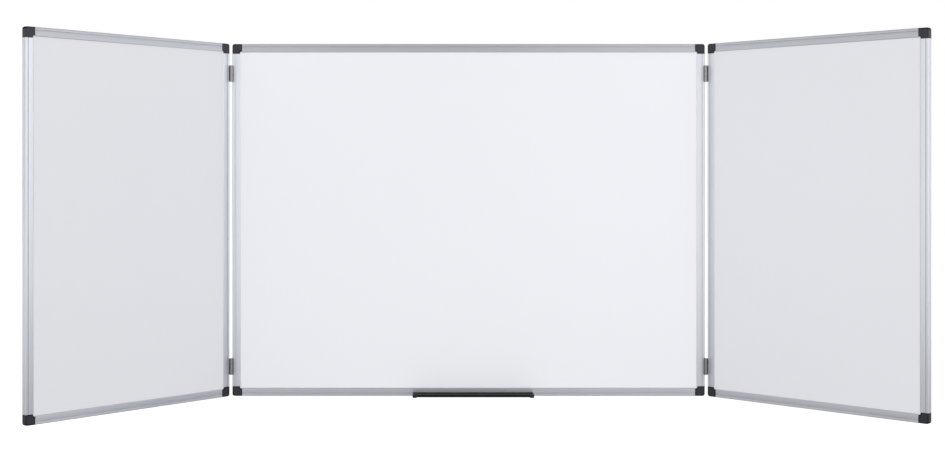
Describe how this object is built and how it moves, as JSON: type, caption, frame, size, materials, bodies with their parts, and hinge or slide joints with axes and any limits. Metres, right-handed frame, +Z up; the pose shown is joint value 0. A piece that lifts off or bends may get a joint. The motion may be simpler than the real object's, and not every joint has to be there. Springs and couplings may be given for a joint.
{
  "type": "folding whiteboard",
  "caption": "Wall-hung folding whiteboard: a wide centre panel, two hinged double-sided wings, aluminium rails, black corner caps and a clip-on pen tray that slides along the lower rail.",
  "frame": {"origin": "middle of the four wall screws, on the wall plane at the back of the centre panel", "axes": "+X to the reader's right along the panels, +Y into the wall, +Z up; the reader stands at -Y"},
  "size_m": [2.0439, 0.4691, 0.894],
  "materials": {
    "anodised_aluminium": "matt silver anodised extrusion",
    "white_enamel": "smooth semi-gloss dry-wipe lacquer on steel sheet",
    "black_corner_plastic": "fine satin moulded",
    "black_tray_plastic": "satin extruded",
    "hinge_steel": "dark nickel, satin",
    "zinc_screws": "zinc plated",
    "core_board": "pressed fibre board",
    "galvanised_steel": "galvanised, dull"
  },
  "bodies": {
    "centre_panel": {"centre_backing_sheet": "galvanised_steel", "centre_core_board": "core_board", "centre_corner_cap_bottom_left": "black_corner_plastic", "centre_corner_cap_bottom_right": "black_corner_plastic", "centre_corner_cap_top_left": "black_corner_plastic", "centre_corner_cap_top_right": "black_corner_plastic", "centre_rail_bottom": "anodised_aluminium", "centre_rail_left": "anodised_aluminium", "centre_rail_right": "anodised_aluminium", "centre_rail_top": "anodised_aluminium", "centre_screw_cover_bottom_left": "black_corner_plastic", "centre_screw_cover_bottom_right": "black_corner_plastic", "centre_screw_cover_top_left": "black_corner_plastic", "centre_screw_cover_top_right": "black_corner_plastic", "centre_writing_surface": "white_enamel", "left_fixed_leaf_screws": "zinc_screws", "left_lower_hinge_fixed_leaf": "hinge_steel", "left_lower_hinge_pin": "hinge_steel", "left_upper_hinge_fixed_leaf": "hinge_steel", "left_upper_hinge_pin": "hinge_steel", "right_fixed_leaf_screws": "zinc_screws", "right_lower_hinge_fixed_leaf": "hinge_steel", "right_lower_hinge_pin": "hinge_steel", "right_upper_hinge_fixed_leaf": "hinge_steel", "right_upper_hinge_pin": "hinge_steel"},
    "left_wing": {"left_lower_hinge_moving_leaf": "hinge_steel", "left_moving_leaf_screws": "zinc_screws", "left_upper_hinge_moving_leaf": "hinge_steel", "left_wing_core_board": "core_board", "left_wing_corner_cap_bottom_hinge_side": "black_corner_plastic", "left_wing_corner_cap_bottom_outer": "black_corner_plastic", "left_wing_corner_cap_top_hinge_side": "black_corner_plastic", "left_wing_corner_cap_top_outer": "black_corner_plastic", "left_wing_front_writing_surface": "white_enamel", "left_wing_rail_bottom": "anodised_aluminium", "left_wing_rail_hinge_side": "anodised_aluminium", "left_wing_rail_outer": "anodised_aluminium", "left_wing_rail_top": "anodised_aluminium", "left_wing_rear_writing_surface": "white_enamel"},
    "right_wing": {"right_lower_hinge_moving_leaf": "hinge_steel", "right_moving_leaf_screws": "zinc_screws", "right_upper_hinge_moving_leaf": "hinge_steel", "right_wing_core_board": "core_board", "right_wing_corner_cap_bottom_hinge_side": "black_corner_plastic", "right_wing_corner_cap_bottom_outer": "black_corner_plastic", "right_wing_corner_cap_top_hinge_side": "black_corner_plastic", "right_wing_corner_cap_top_outer": "black_corner_plastic", "right_wing_front_writing_surface": "white_enamel", "right_wing_rail_bottom": "anodised_aluminium", "right_wing_rail_hinge_side": "anodised_aluminium", "right_wing_rail_outer": "anodised_aluminium", "right_wing_rail_top": "anodised_aluminium", "right_wing_rear_writing_surface": "white_enamel"},
    "pen_tray": {"pen_tray": "black_tray_plastic", "pen_tray_end_cap_left": "black_corner_plastic", "pen_tray_end_cap_right": "black_corner_plastic"}
  },
  "joints": [
    {"name": "left_wing_hinge", "type": "hinge", "parent": "centre_panel", "child": "left_wing", "pos_m": [-0.60145, -0.02021, 0], "axis": [0, 0, 1], "range_deg": [-49, 121.5]},
    {"name": "right_wing_hinge", "type": "hinge", "parent": "centre_panel", "child": "right_wing", "pos_m": [0.60145, -0.02021, 0], "axis": [0, 0, -1], "range_deg": [-45.5, 125]},
    {"name": "pen_tray_slide", "type": "slide", "parent": "centre_panel", "child": "pen_tray", "axis": [1, 0, 0], "range_m": [-0.1105, 0.0895]}
  ]
}
